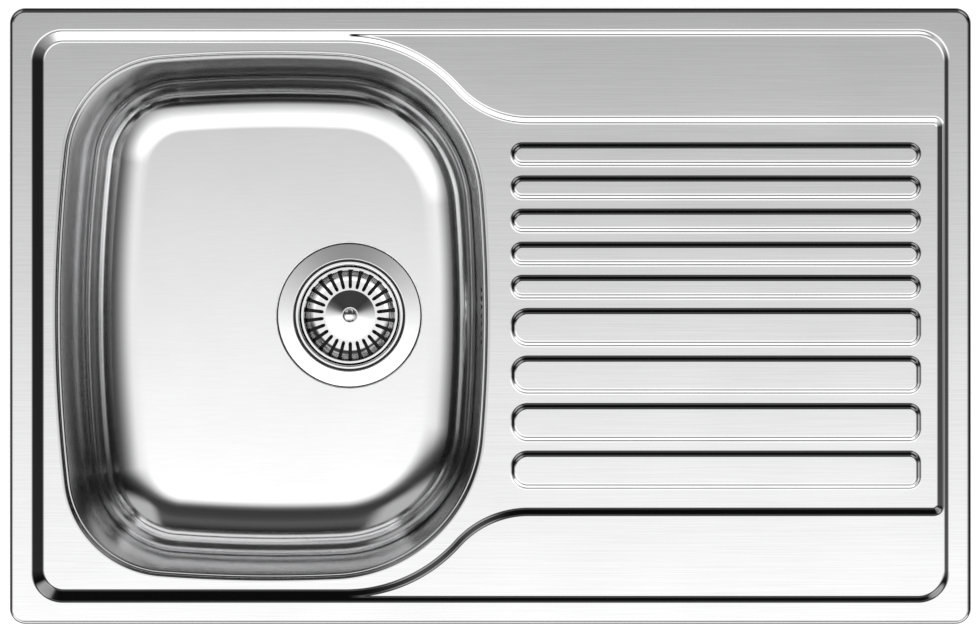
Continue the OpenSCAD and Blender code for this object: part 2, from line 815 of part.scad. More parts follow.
module basket_stem() {
    color("darkgray")
        on_waste() {
            translate([0, 0, pin_end_z])
                cylinder(h = stopper_z - pin_end_z, r = pin_r);
            translate([0, 0, stopper_z])
                cylinder(h = basket_z + 4 - stopper_z, r = pin_r + 1);
            translate([0, 0, stopper_z + stopper_t])
                cylinder(h = spacer_t, r = pin_r + 4);
        }
}

module basket_knob() {
    r = knob_d/2;
    color("silver")
        on_waste()
            difference() {
                translate([0, 0, basket_z])
                    rotate_extrude()
                        polygon(concat([[0, 0], [r, 0], [r, 1.2], [r*0.72, 3], [r*0.72, knob_h*0.55],
                            [r, knob_h*0.72]], arc([0, knob_h*0.72], r, 8, 38, 3),
                            arc([0, knob_h - r*0.9], r*0.9, 50, 90, 4)));
                translate([0, 0, basket_z - 1])
                    cylinder(h = 5, r = pin_r + 1);
            }
}

module basket_stopper() {
    r = seat_d/2 + stopper_lap;
    color("dimgray")
        on_waste()
            translate([0, 0, stopper_z])
                rotate_extrude($fn = 180)
                    polygon([[pin_r + 1, 0], [r, 0], [r, 0.8], [r - 1.5, stopper_t - 1], [r - 4, stopper_t],
                        [pin_r + 1, stopper_t]]);
}

module stopper_washer() {
    color("gainsboro")
        on_waste()
            ring(pin_r, seat_d/2 - 8, stopper_z - washer_t, stopper_z);
}

// A strip along the outside of the bowl's right wall: near and far are distances from the sheet
module wall_strip(half, h, near, far) {
    r = side_r - wall_in(overflow_z) + sheet_t/cos(draft);
    up = [sin(draft), cos(draft)]*h/2;
    out = [cos(draft), -sin(draft)];
    a = asin(half/r);
    translate([bowl_x + side_c[0].x, 0, overflow_z])
        rotate([0, 0, -a])
            rotate_extrude(angle = 2*a, $fn = fine_fn)
                polygon([[r, 0] - up + out*near, [r, 0] - up + out*far, [r, 0] + up + out*far,
                    [r, 0] + up + out*near]);
}

// On the outside of that wall, +X outwards; side is -1, 0 or 1 for the two studs
module on_wall(side) {
    r = side_r - wall_in(overflow_z) + sheet_t/cos(draft);
    translate([bowl_x + side_c[0].x, 0, overflow_z])
        rotate([0, 0, side*asin(stud_y/r)])
            translate([r, 0, 0])
                rotate([0, draft, 0])
                    children();
}

module overflow_gasket() {
    color("black")
        difference() {
            wall_strip(plate_half, plate_h, 0, gasket_t);
            on_wall(0)
                translate([-5, -window_half, -window_h/2])
                    cube([15, 2*window_half, window_h]);
            for (side = [-1, 1])
                on_wall(side)
                    rotate([0, 90, 0])
                        translate([0, 0, -5])
                            cylinder(h = 15, r = stud_r + 0.4);
        }
}

module overflow_housing() {
    inside = window_h/2;
    color("white")
        difference() {
            union() {
                wall_strip(plate_half, plate_h, gasket_t, gasket_t + plate_t);
                on_wall(0)
                    translate([gasket_t + 1.5, -window_half - chamber_wall, -inside - chamber_wall])
                        cube([chamber_out - gasket_t, 2*(window_half + chamber_wall), 2*(inside + chamber_wall)]);
                translate([pipe_x, 0, spigot_end_z])
                    cylinder(h = overflow_z - spigot_end_z, r = spigot_r);
            }
            on_wall(0)
                translate([-5, -window_half, -inside])
                    cube([chamber_out + 5 - chamber_wall + 1.5, 2*window_half, 2*inside]);
            translate([pipe_x, 0, spigot_end_z - 1])
                cylinder(h = chamber_z - spigot_end_z + 6, r = spigot_bore);
            for (side = [-1, 1])
                on_wall(side)
                    rotate([0, 90, 0])
                        translate([0, 0, -5])
                            cylinder(h = 15, r = stud_r + 0.4);
        }
}

module overflow_studs() {
    color("silver")
        for (side = [-1, 1])
            on_wall(side)
                rotate([0, 90, 0])
                    cylinder(h = gasket_t + plate_t + 6, r = stud_r);
}

module overflow_nuts() {
    color("lightgray")
        for (side = [-1, 1])
            on_wall(side)
                rotate([0, 90, 0])
                    translate([0, 0, gasket_t + plate_t])
                        difference() {
                            cylinder(h = 3.2, r = 4, $fn = 6);
                            translate([0, 0, -1])
                                cylinder(h = 6, r = stud_r + 0.05);
                        }
}

module overflow_pipe() {
    top_z = spigot_end_z + coupling_in;
    low_z = inlet_z + pipe_bend;
    end_x = inlet_end_x - coupling_in;
    color("white") {
        translate([pipe_x, 0, low_z])
            pipe_run(top_z - low_z);
        translate([pipe_x - pipe_bend, 0, low_z])
            rotate([90, 0, 0])
                rotate_extrude(angle = -90)
                    translate([pipe_bend, 0])
                        difference() {
                            circle(r = pipe_r);
                            circle(r = pipe_r - pipe_wall);
                        }
        translate([end_x, 0, inlet_z])
            rotate([0, 90, 0])
                pipe_run(pipe_x - pipe_bend - end_x);
    }
}

module pipe_run(l) {
    linear_extrude(l)
        difference() {
            circle(r = pipe_r);
            circle(r = pipe_r - pipe_wall);
        }
}

// A coupling from the end of its spigot, +Z along the pipe
module coupling_nut() {
    color("whitesmoke")
        difference() {
            union() {
                translate([0, 0, -12])
                    cylinder(h = 19, r = nut_r - 1);
                for (a = [0:45:315])
                    rotate([0, 0, a])
                        translate([nut_r - 2.5, -2.5, -12])
                            cube([2.5, 5, 17]);
            }
            translate([0, 0, -13])
                cylinder(h = 17, r = spigot_r + 0.05);
            translate([0, 0, 3])
                cylinder(h = 5, r = pipe_r + 0.2);
        }
}

module coupling_seal() {
    translate([0, 0, 0.02])
        ring(pipe_r, spigot_r - 0.1, 0, 3.96);
}

module at_top_coupling() {
    translate([pipe_x, 0, spigot_end_z])
        rotate([180, 0, 0])
            children();
}

module at_side_coupling() {
    translate([inlet_end_x, 0, inlet_z])
        rotate([0, 90, 0])
            children();
}

module pipe_nut_top() {
    at_top_coupling()
        coupling_nut();
}

module pipe_nut_side() {
    at_side_coupling()
        coupling_nut();
}

module pipe_seals() {
    color("black") {
        at_top_coupling()
            coupling_seal();
        at_side_coupling()
            coupling_seal();
    }
}

module clamp_screw_1() clamp_screw(1);
module clamp_claw_1() clamp_claw(1);
module clamp_screw_2() clamp_screw(2);
module clamp_claw_2() clamp_claw(2);
module clamp_screw_3() clamp_screw(3);
module clamp_claw_3() clamp_claw(3);
module clamp_screw_4() clamp_screw(4);
module clamp_claw_4() clamp_claw(4);
module clamp_screw_5() clamp_screw(5);
module clamp_claw_5() clamp_claw(5);
module clamp_screw_6() clamp_screw(6);
module clamp_claw_6() clamp_claw(6);
module clamp_screw_7() clamp_screw(7);
module clamp_claw_7() clamp_claw(7);
module clamp_screw_8() clamp_screw(8);
module clamp_claw_8() clamp_claw(8);

deck_pressing();
bowl();
rim_seal();
clamp_brackets();
clamp_screw_1();
clamp_screw_2();
clamp_screw_3();
clamp_screw_4();
clamp_screw_5();
clamp_screw_6();
clamp_screw_7();
clamp_screw_8();
clamp_claw_1();
clamp_claw_2();
clamp_claw_3();
clamp_claw_4();
clamp_claw_5();
clamp_claw_6();
clamp_claw_7();
clamp_claw_8();
strainer_flange();
flange_seal();
body_seal();
strainer_body();
strainer_screw();
basket_cup();
basket_stem();
basket_knob();
basket_stopper();
stopper_washer();
overflow_gasket();
overflow_housing();
overflow_studs();
overflow_nuts();
overflow_pipe();
pipe_nut_top();
pipe_nut_side();
pipe_seals();
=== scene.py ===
import bpy
import json
import math
import numpy as np
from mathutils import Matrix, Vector
from mathutils.geometry import delaunay_2d_cdt


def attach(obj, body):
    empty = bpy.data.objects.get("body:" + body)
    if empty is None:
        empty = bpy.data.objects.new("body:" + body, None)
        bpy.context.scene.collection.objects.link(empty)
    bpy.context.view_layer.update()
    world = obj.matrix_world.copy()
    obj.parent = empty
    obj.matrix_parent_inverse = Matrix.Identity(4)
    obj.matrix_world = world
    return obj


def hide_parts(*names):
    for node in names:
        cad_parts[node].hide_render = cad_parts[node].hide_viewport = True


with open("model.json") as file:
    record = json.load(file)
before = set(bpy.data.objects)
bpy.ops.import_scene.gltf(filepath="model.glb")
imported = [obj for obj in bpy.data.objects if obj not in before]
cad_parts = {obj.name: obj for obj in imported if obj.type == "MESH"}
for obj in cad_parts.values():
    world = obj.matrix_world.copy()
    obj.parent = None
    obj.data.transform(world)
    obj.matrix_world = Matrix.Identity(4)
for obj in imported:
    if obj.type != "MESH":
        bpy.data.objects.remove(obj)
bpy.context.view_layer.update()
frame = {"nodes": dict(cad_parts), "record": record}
MM = 0.001

# Sizes are in millimetres and repeat the part's source, apart from a few that are fitted to the
# photo: the drainer's end, the ribs' height, the radius at the bowl's floor and the strainer's
# finer forms
SINK_L, SINK_W, CORNER_R, EDGE_R, RIM_W = 780.0, 500.0, 13.0, 4.5, 18.5
RIM_Z, LEDGE_Z, PAN_Z, FLOOR_Z, SKIRT_Z = 6.0, 3.0, -1.0, -161.0, 0.5
SHEET, STRAINER_SHEET = 1.0, 0.8
SLOPE = 1.25    # run of a slope for each mm of its rise
STEP_X, STEP_Y, STEP_R = SINK_L/2 - RIM_W, SINK_W/2 - RIM_W, 25.0
PAN_RUN = SLOPE*(RIM_Z - PAN_Z)
TUB_X, TUB_Y, TUB_R = STEP_X - PAN_RUN, STEP_Y - PAN_RUN, STEP_R - PAN_RUN
BOWL_L, BOWL_W, SIDE_R, LEFT_R, RIGHT_R = 355.6, 432.0, 1200.0, 87.0, 127.0
BOWL_GAP, SWEEP_GAP = 7.2, 31.0
BOWL_X = -TUB_X + BOWL_GAP + BOWL_L/2
DRAINER_X, DRAINER_Y, END_R = 362.5, 156.45, 3.0
OUTER_R, INNER_R = 120.0, 80.0
SWEEP_X1 = BOWL_X + BOWL_L/2 + SWEEP_GAP
SWEEP_X0 = SWEEP_X1 - math.sqrt(
    (OUTER_R + INNER_R)**2 - (OUTER_R + INNER_R - (TUB_Y - DRAINER_Y))**2)
DRAFT, FLOOR_R = math.radians(3), 43.0
WASTE_X = -121.43
AXIS = np.array([WASTE_X, 0.0, 0.0])

# A rib is the middle of its width, half its width and the corner radius at its near end
RIB_X0, RIB_X1, RIB_H, RIB_RUN, RIB_R = 16.75, 349.3, 2.6, 3.3, 9.15
RIB_MID, RIB_HALF = (RIB_X0 + RIB_X1)/2, (RIB_X1 - RIB_X0)/2
NARROW_HALF, WIDE_HALF, WIDE_NEAR_R = 9.15, 15.0, 13.5
NARROW = [131.0, 104.1, 77.2, 50.3, 23.4]
WIDE = [-9.35, -47.95, -86.55, -125.15]
RIBS = [(y, NARROW_HALF, RIB_R) for y in NARROW] + [(y, WIDE_HALF, WIDE_NEAR_R) for y in WIDE]

# Half the width of the soft bend at the edges of each slope, and where the mesh's lines run
# over each slope, from its start
BEND, RIB_BEND = 1.0, 1.1
STEP_LINES = (-1, -0.5, 0, 0.5, 1, 1.9, 2.75, 3.25, 3.75, 4.25, 4.75)
WET_LINES = (-1, -0.5, 0, 0.5, 1, 2.5, 4, 4.5, 5, 5.5, 6)
ONE_SLOPE_FROM = 3
RIB_LINES = (-1.1, -0.55, 0, 0.55, 1.1, 1.65, 2.2, 2.75, 3.3, 3.85, 4.4)

SHARP_ANGLE = math.radians(32)
SAME_POINT, MERGE_GRID, TINY = 0.02, 2e-4, 1e-9
DECK_JOIN, JOIN = 1e-4, 1e-5    # how near two points of a triangulation count as one
FLAT_X, FLAT_Y, FLAT_GRID, FLAT_INSET, FLAT_R = 380, 240, 20.0, 6, 8
CORNER_SEGS, EDGE_SEGS, END_MIN_R, SLOPE_PROBE = 30, 18, 0.3, 0.02


def object_of(name, verts, faces, corner_normals, body, material):
    """An object from points in mm; without normals its edges are sharp by their angle."""
    me = bpy.data.meshes.new(name)
    me.from_pydata([tuple(v) for v in np.asarray(verts)*MM], [], faces)
    me.polygons.foreach_set("use_smooth", [True]*len(me.polygons))
    me.materials.append(material)
    if corner_normals is not None:
        me.normals_split_custom_set([tuple(n) for n in corner_normals])
    else:
        me.set_sharp_from_angle(angle=SHARP_ANGLE)
    ob = bpy.data.objects.new(name, me)
    bpy.context.scene.collection.objects.link(ob)
    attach(ob, body)
    return ob


def thicken(verts, normals, faces, t):
    """A sheet of thickness t behind the given faces, with a normal for each corner of each face."""
    n = len(verts)
    verts = np.vstack([verts, verts - t*normals])
    edges = dict.fromkeys((a, b) for f in faces for a, b in zip(f, f[1:] + f[:1]))
    out, corner_normals = list(faces), [normals[i] for f in faces for i in f]
    for f in faces:
        back = tuple(i + n for i in reversed(f))
        out.append(back)
        corner_normals += [-normals[i - n] for i in back]
    for a, b in edges:
        if (b, a) not in edges:
            side = np.cross(verts[a] - verts[b], verts[a + n] - verts[a])
            side /= max(np.linalg.norm(side), TINY)
            out.append((b, a, a + n, b + n))
            corner_normals += [side]*4
    return verts, out, corner_normals


def merge(verts, normals, faces):
    """Joins points that lie on each other."""
    index_of, index, keep = {}, [], []
    for i, v in enumerate(np.round(verts/MERGE_GRID).astype(np.int64)):
        cell = tuple(v)
        if cell not in index_of:
            index_of[cell] = len(keep)
            keep.append(i)
        index.append(index_of[cell])
    new = []
    for f in faces:
        g = tuple(index[i] for i in f)
        g = tuple(a for a, b in zip(g, g[1:] + g[:1]) if a != b)
        if len(g) > 2:
            new.append(g)
    return verts[keep], normals[keep], new


def joined(parts):
    """One mesh from several of points, normals and faces."""
    verts, normals, faces, first = [], [], [], 0
    for v, n, f in parts:
        verts.append(v)
        normals.append(n)
        faces += [tuple(first + i for i in g) for g in f]
        first += len(v)
    return np.vstack(verts), np.vstack(normals), faces


def quads(rows, m, upwards=False, skip=None):
    """Quads between closed rows of m points; upwards turns their corners' order round."""
    out = []
    for i in range(rows - 1):
        for j in range(m):
            if skip and skip(i, j):
                continue
            a, b = i*m + j, i*m + (j + 1) % m
            out.append((a, b, b + m, a + m) if upwards else (a, a + m, b + m, b))
    return out


def closed_loops(*loops):
    """The points and edges of closed loops."""
    pts, edges = [], []
    for loop in loops:
        n0 = len(pts)
        pts += list(loop)
        edges += [(n0 + i, n0 + (i + 1) % len(loop)) for i in range(len(loop))]
    return pts, edges


def triangulate(pts, edges, join_within, inside_only=False):
    """Triangles over flat points of which some are joined by edges."""
    flat = [Vector((p[0], p[1])) for p in pts]
    vs, _, fs, _, _, _ = delaunay_2d_cdt(flat, edges, [], int(inside_only), join_within)
    return np.array([[v[0], v[1]] for v in vs]), fs


def wound(f, xy, anticlockwise):
    """A triangle's corners, anticlockwise or clockwise."""
    p = xy[list(f)]
    u, v = p[1] - p[0], p[2] - p[0]
    ccw = u[0]*v[1] - u[1]*v[0] > 0
    return tuple(int(i) for i in (f if ccw == anticlockwise else reversed(f)))


def arc(cx, cy, r, a0, a1, n):
    a = np.radians(np.linspace(a0, a1, n + 1))
    return np.stack([cx + r*np.cos(a), cy + r*np.sin(a)], 1)


def round_rect(hx, hy, radii, x=0.0, y=0.0, segs=CORNER_SEGS):
    """Outline of a rounded rectangle, anticlockwise; radii is one number or one for each corner."""
    corners = [(1, 1, 0), (-1, 1, 90), (-1, -1, 180), (1, -1, 270)]
    return np.vstack([arc(x + sx*(hx - r), y + sy*(hy - r), r, a, a + 90, segs)
                      for (sx, sy, a), r in zip(corners, np.broadcast_to(radii, 4))])


def soft(x, s):
    """A ramp that starts at 0 and bends softly over 2s."""
    return np.where(x > s, x, np.where(x < -s, 0.0, (x + s)**2/(4*s)))


def ramp(d, run, rise, s):
    return rise/run*(soft(d, s) - soft(d - run, s))


def corner_distance(qx, qy):
    """Signed distance to a square corner at 0, 0, negative inside."""
    return np.hypot(np.maximum(qx, 0), np.maximum(qy, 0)) + np.minimum(np.maximum(qx, qy), 0)


def rect_distance(x, y, hx, hy, r):
    """Signed distance to a rounded rectangle, negative inside."""
    return corner_distance(np.abs(x) - hx + r, np.abs(y) - hy + r) - r


# The bowl's outline is four bowed sides, the right one first, and four corners
SIDE_C = [(BOWL_L/2 - SIDE_R, 0.0), (0.0, BOWL_W/2 - SIDE_R),
          (SIDE_R - BOWL_L/2, 0.0), (0.0, SIDE_R - BOWL_W/2)]
CORNER_RS = [RIGHT_R, LEFT_R, LEFT_R, RIGHT_R]
# Half the overflow's window along the right side, and the steps beside it and across it
WINDOW, BESIDE_WINDOW, OVER_WINDOW = 27.0, 13, 11
# Degrees between points round the corners and along the other sides
CORNER_STEP, SIDE_STEP = 1.5, 0.25


def corner_centre(i):
    a, b = np.array(SIDE_C[i]), np.array(SIDE_C[(i + 1) % 4])
    d = np.linalg.norm(b - a)
    reach = SIDE_R - CORNER_RS[i]
    u = np.array([b[1] - a[1], a[0] - b[0]])/d
    mid = (a + b)/2
    return mid - u*math.sqrt(reach*reach - d*d/4)*np.sign(u @ mid)


CORNER_CS = [corner_centre(i) for i in range(4)]


def bearing(v):
    return math.degrees(math.atan2(v[1], v[0]))


def onwards(a0, a1):
    """The angle a1, counted on from a0."""
    return a0 + (a1 - a0 + 720) % 360


def outline_arcs():
    """Centre, radius, start and end angle of each arc of the outline."""
    out = []
    for i in range(4):
        side = np.array(SIDE_C[i])
        a0 = bearing(CORNER_CS[(i + 3) % 4] - side)
        a1 = onwards(a0, bearing(CORNER_CS[i] - side))
        a2 = bearing(CORNER_CS[i] - np.array(SIDE_C[(i + 1) % 4]))
        out.append((side, SIDE_R, a0, a1))
        out.append((CORNER_CS[i], CORNER_RS[i], a1, onwards(a1, a2)))
    return out


def stations():
    """Centre, radius and angle of each point round the bowl's mouth."""
    out = []
    w = math.degrees(WINDOW/SIDE_R)
    for k, (c, r, a0, a1) in enumerate(outline_arcs()):
        if k == 0:
            spans = [(a0, -w, BESIDE_WINDOW), (-w, w, OVER_WINDOW), (w, a1, BESIDE_WINDOW)]
            a = np.concatenate([np.linspace(*span, endpoint=False) for span in spans])
        else:
            n = math.ceil((a1 - a0)/(CORNER_STEP if k % 2 else SIDE_STEP))
            a = np.linspace(a0, a1, n, endpoint=False)
        out += [(c[0], c[1], r, math.radians(q)) for q in a]
    return np.array(out)


ST = stations()
IN_WINDOW = np.abs(ST[:, 3]) <= WINDOW/SIDE_R + TINY


def ring(inset):
    """The outline drawn in by inset, in the sink's frame."""
    r = ST[:, 2] - inset
    return np.stack([BOWL_X + ST[:, 0] + r*np.cos(ST[:, 3]), ST[:, 1] + r*np.sin(ST[:, 3])], 1)


def in_mouth(x, y):
    x = x - BOWL_X
    ok = np.ones(x.shape, bool)
    for c in SIDE_C:
        ok &= np.hypot(x - c[0], y - c[1]) <= SIDE_R
    for i, (c, r) in enumerate(zip(CORNER_CS, CORNER_RS)):
        va, vb = c - np.array(SIDE_C[i]), c - np.array(SIDE_C[(i + 1) % 4])
        px, py = x - c[0], y - c[1]
        sector = (va[0]*py - va[1]*px > 0) & (vb[0]*py - vb[1]*px < 0)
        ok &= ~(sector & (np.hypot(px, py) > r))
    return ok


# Centres of the two arcs by which a ledge sweeps round the bowl's corner into the drainer
C1 = np.array([SWEEP_X0, TUB_Y - OUTER_R])
C2 = np.array([SWEEP_X1, DRAINER_Y + INNER_R])
TO_C2 = C2 - C1
WELL_INSIDE, END_FROM = -20.0, SWEEP_X1 + 5


def wet_distance(x, y):
    """Distance outside the wet area's foot, negative inside."""
    y = np.abs(y)
    u, v = x - C1[0], y - C1[1]
    by_bowl = rect_distance(x, y, TUB_X, TUB_Y, TUB_R)
    first = np.where(v > 0, np.hypot(u, v) - OUTER_R, WELL_INSIDE)
    second = INNER_R - np.hypot(x - C2[0], y - C2[1])
    by_drainer = y - DRAINER_Y
    past = u*TO_C2[1] - v*TO_C2[0] > 0
    side = np.where(past, np.where(x < SWEEP_X1, second, by_drainer), first)
    end = corner_distance(x - DRAINER_X + END_R, by_drainer + END_R) - END_R
    return np.where(x <= C1[0], by_bowl, np.where(x > END_FROM, end, side))


def rib_distance(x, y, rib):
    """Distance inside a rib's foot, whose near corners may be rounder than its far ones."""
    yc, half, near_r = rib
    far = -rect_distance(x - RIB_MID, y - yc, RIB_HALF, half, RIB_R)
    near = -rect_distance(x - RIB_MID, y - yc, RIB_HALF, half, near_r)
    return np.where(x < RIB_MID, near, far)


def slope(d, rise):
    return ramp(d, SLOPE*rise, rise, BEND)


def deck_height(x, y):
    inside = -rect_distance(x, y, STEP_X, STEP_Y, STEP_R)
    z = PAN_Z + slope(wet_distance(x, y), LEDGE_Z - PAN_Z)
    z = z + (RIM_Z - LEDGE_Z) - slope(inside, RIM_Z - LEDGE_Z)
    for rib in RIBS:
        z = z + ramp(rib_distance(x, y, rib), RIB_RUN, RIB_H, RIB_BEND)
    return z


def wet_line(e):
    """The wet area's foot drawn out by e, rear half, without and with its part by the bowl."""
    t = bearing(TO_C2)
    far = arc(DRAINER_X - END_R, DRAINER_Y - END_R, max(END_R + e, END_MIN_R), 0, 90, 10)
    inner = arc(C2[0], C2[1], INNER_R - e, 270, 180 + t, 50)
    outer = arc(C1[0], C1[1], OUTER_R + e, t, 90, 60)
    left = arc(TUB_R - TUB_X, TUB_Y - TUB_R, TUB_R + e, 90, 180, 30)
    half = np.vstack([far, inner, outer])
    return half, np.vstack([half, left])


def deck_lines():
    """The lines of the deck's mesh over its slopes, each with a mark if it is closed."""
    lines = [(round_rect(STEP_X - d, STEP_Y - d, STEP_R - d), True) for d in STEP_LINES]
    for e in WET_LINES:
        open_half, half = wet_line(e)
        if e < ONE_SLOPE_FROM:
            lines.append((np.vstack([half, half[::-1]*[1, -1]]), True))
        else:
            # By the bowl the rest of the slope follows the rim step's own lines
            line = np.vstack([[[open_half[0][0], 0.0]], open_half])
            lines += [(line, False), (line*[1, -1], False)]
    for yc, half, near_r in RIBS:
        for d in RIB_LINES:
            radii = [RIB_R - d, near_r - d, near_r - d, RIB_R - d]
            lines.append((round_rect(RIB_HALF - d, half - d, radii, RIB_MID, yc, EDGE_SEGS), True))
    return lines


def add_line(pts, edges, line, closed):
    """Adds a line's points and edges, without points that fall on each other."""
    keep = [line[0]]
    for p in line[1:]:
        if np.hypot(*(p - keep[-1])) > SAME_POINT:
            keep.append(p)
    if closed and np.hypot(*(keep[0] - keep[-1])) < SAME_POINT:
        keep.pop()
    first, last = len(pts), len(pts) + len(keep) - 1
    pts.extend(keep)
    edges.extend((i, i + 1) for i in range(first, last))
    if closed:
        edges.append((last, first))


def deck_top(border):
    """The deck inside its rounded edge, as a height over flat triangles."""
    pts, edges = [], []
    for line, closed in [(border, True), (ring(0.0), True)] + deck_lines():
        add_line(pts, edges, line, closed)
    # A few points in the flats keep the triangles well shaped
    gx, gy = np.meshgrid(np.arange(-FLAT_X, FLAT_X + 1, FLAT_GRID),
                         np.arange(-FLAT_Y, FLAT_Y + 1, FLAT_GRID))
    gx, gy = gx.ravel(), gy.ravel()
    inset = rect_distance(gx, gy, SINK_L/2 - FLAT_INSET, SINK_W/2 - FLAT_INSET, FLAT_R)
    spare = ~in_mouth(gx, gy) & (inset < 0)
    pts.extend(np.stack([gx[spare], gy[spare]], 1))
    xy, fs = triangulate(pts, edges, DECK_JOIN)
    tri = np.array(fs)
    cx, cy = xy[tri].mean(1).T
    within = rect_distance(cx, cy, SINK_L/2 - EDGE_R, SINK_W/2 - EDGE_R, CORNER_R - EDGE_R) < 0
    tri = tri[~in_mouth(cx, cy) & within]
    x, y = xy.T
    h = SLOPE_PROBE
    nx = -(deck_height(x + h, y) - deck_height(x - h, y))/(2*h)
    ny = -(deck_height(x, y + h) - deck_height(x, y - h))/(2*h)
    nor = np.stack([nx, ny, np.ones_like(nx)], 1)
    nor /= np.linalg.norm(nor, axis=1)[:, None]
    verts = np.stack([x, y, deck_height(x, y)], 1)
    return verts, nor, [wound(t, xy, True) for t in tri]


def deck_edge(border):
    """The rounded outer edge and the skirt under it."""
    m = len(border)
    full = round_rect(SINK_L/2, SINK_W/2, CORNER_R, segs=EDGE_SEGS)
    outwards = (full - border)/EDGE_R
    verts, nor = [], []
    for t in np.radians(np.linspace(0, 90, 15)):
        s, c = EDGE_R*math.sin(t), EDGE_R*math.cos(t)
        verts.append(np.column_stack([border + outwards*s, np.full(m, RIM_Z - EDGE_R + c)]))
        nor.append(np.column_stack([outwards*(s/EDGE_R), np.full(m, c/EDGE_R)]))
    verts.append(np.column_stack([full, np.full(m, SKIRT_Z)]))
    nor.append(np.column_stack([outwards, np.zeros(m)]))
    return np.vstack(verts), np.vstack(nor), quads(len(verts), m)


def deck_mesh():
    border = round_rect(SINK_L/2 - EDGE_R, SINK_W/2 - EDGE_R, CORNER_R - EDGE_R, segs=EDGE_SEGS)
    return merge(*joined([deck_top(border), deck_edge(border)]))


def filleted(points, radii, segs):
    """A polyline with rounded corners: points, and normals to the left of travel."""
    def left(u):
        return np.array([-u[1], u[0]])

    pts = [np.array(p, float) for p in points]
    out, nor = [], []
    for i, p in enumerate(pts):
        if i == 0 or i == len(pts) - 1:
            u = pts[1] - p if i == 0 else p - pts[-2]
            u /= np.linalg.norm(u)
            out.append(p)
            nor.append(left(u))
            continue
        u = p - pts[i - 1]
        v = pts[i + 1] - p
        u, v = u/np.linalg.norm(u), v/np.linalg.norm(v)
        turn = math.atan2(u[0]*v[1] - u[1]*v[0], u @ v)
        r, n = radii[i], segs[i]
        s = 1 if turn > 0 else -1
        c = p - u*(r*math.tan(abs(turn)/2)) + s*left(u)*r
        a0 = math.atan2(*(-s*left(u))[::-1])
        for k in range(n + 1):
            a = a0 + turn*k/n
            d = np.array([math.cos(a), math.sin(a)])
            out.append(c + r*d)
            nor.append(-s*d)
    return np.array(out), np.array(nor)


# The bowl's lip is a small step; the wall is drafted from where the lip's last bend ends
LIP_W, LIP_H = 3.5, 3.5
WALL_IN, WALL_FROM_Z = 6.298, -6.016
# Rows of the mesh on the wall; the overflow's window lies between the first and the fifth
WALL_ROWS = (-11.0, -18.0, -25.0, -32.0, -39.0, -55.0, -72.0, -90.0, -108.0)
WINDOW_ROWS = 4
OVERFLOW_SLOTS, SLOT_PITCH, SLOT_Z, SLOT_REACH, SLOT_R = 7, 7.15, -25.0, 9, 2
RECESS_EDGE_R, RECESS_R, RECESS_HOLE_R, RECESS_DEPTH, RECESS_SEGS = 63.2, 62, 45, 3, 144


def wall_at(z):
    """Distance inwards from the mouth of the bowl's straight wall."""
    return WALL_IN + (WALL_FROM_Z - z)*math.tan(DRAFT)


def bowl_profile():
    """Distances inwards and heights down the wall, their normals, and the window's first row."""
    foot = wall_at(FLOOR_Z)
    pts, nor = filleted(
        [(0, PAN_Z), (LIP_W, PAN_Z), (LIP_W, PAN_Z - LIP_H),
         (wall_at(PAN_Z - LIP_H), PAN_Z - LIP_H), (foot, FLOOR_Z), (foot + 2*FLOOR_R, FLOOR_Z)],
        [0, 2.6, 0.9, 1.6, FLOOR_R, 0], [0, 10, 5, 8, 36, 0])
    # Travel is inwards and down, so the visible side is on the left; the far end isn't needed
    pts, nor = pts[:-1], nor[:-1]
    first = next(i for i, p in enumerate(pts) if p[1] < WALL_ROWS[-1])
    wall = np.array([[wall_at(z), z] for z in WALL_ROWS])
    wall_normals = np.repeat([[math.cos(DRAFT), math.sin(DRAFT)]], len(WALL_ROWS), 0)
    return (np.vstack([pts[:first], wall, pts[first:]]),
            np.vstack([nor[:first], wall_normals, nor[first:]]), first)


def bowl_wall(profile, profile_normals, first):
    m = len(ST)
    dirs = np.stack([np.cos(ST[:, 3]), np.sin(ST[:, 3])], 1)
    verts = [np.column_stack([ring(q), np.full(m, z)]) for q, z in profile]
    nor = [np.column_stack([-dirs*nq, np.full(m, nz)]) for nq, nz in profile_normals]

    def window(i, j):
        return IN_WINDOW[j] and IN_WINDOW[(j + 1) % m] and first <= i < first + WINDOW_ROWS

    return np.vstack(verts), np.vstack(nor), quads(len(profile), m, upwards=True, skip=window)


def overflow_window():
    """The right wall round the overflow's slots, laid out along the side and by height."""
    s = ST[IN_WINDOW, 3]*SIDE_R
    z = WALL_ROWS[:WINDOW_ROWS + 1]
    border = [(q, z[0]) for q in s] + [(s[-1], q) for q in z[1:-1]]
    border += [(q, z[-1]) for q in reversed(s)] + [(s[0], q) for q in z[-2:0:-1]]
    slots = [(i - OVERFLOW_SLOTS//2)*SLOT_PITCH for i in range(OVERFLOW_SLOTS)]
    outlines = [np.vstack([arc(c, SLOT_Z + SLOT_REACH, SLOT_R, 0, 180, 10),
                           arc(c, SLOT_Z - SLOT_REACH, SLOT_R, 180, 360, 10)]) for c in slots]
    sz, fs = triangulate(*closed_loops(border, *outlines), JOIN)
    phi = sz[:, 0]/SIDE_R
    r = SIDE_R - wall_at(sz[:, 1])
    verts = np.column_stack([BOWL_X + SIDE_C[0][0] + r*np.cos(phi), r*np.sin(phi), sz[:, 1]])
    nor = np.column_stack([-np.cos(phi)*math.cos(DRAFT), -np.sin(phi)*math.cos(DRAFT),
                           np.full(len(phi), math.sin(DRAFT))])

    def in_slot(f):
        c = sz[list(f)].mean(0)
        past = max(abs(c[1] - SLOT_Z) - SLOT_REACH, 0)
        return any(np.hypot(c[0] - q, past) < SLOT_R for q in slots)

    return verts, nor, [wound(f, sz, False) for f in fs if not in_slot(f)]


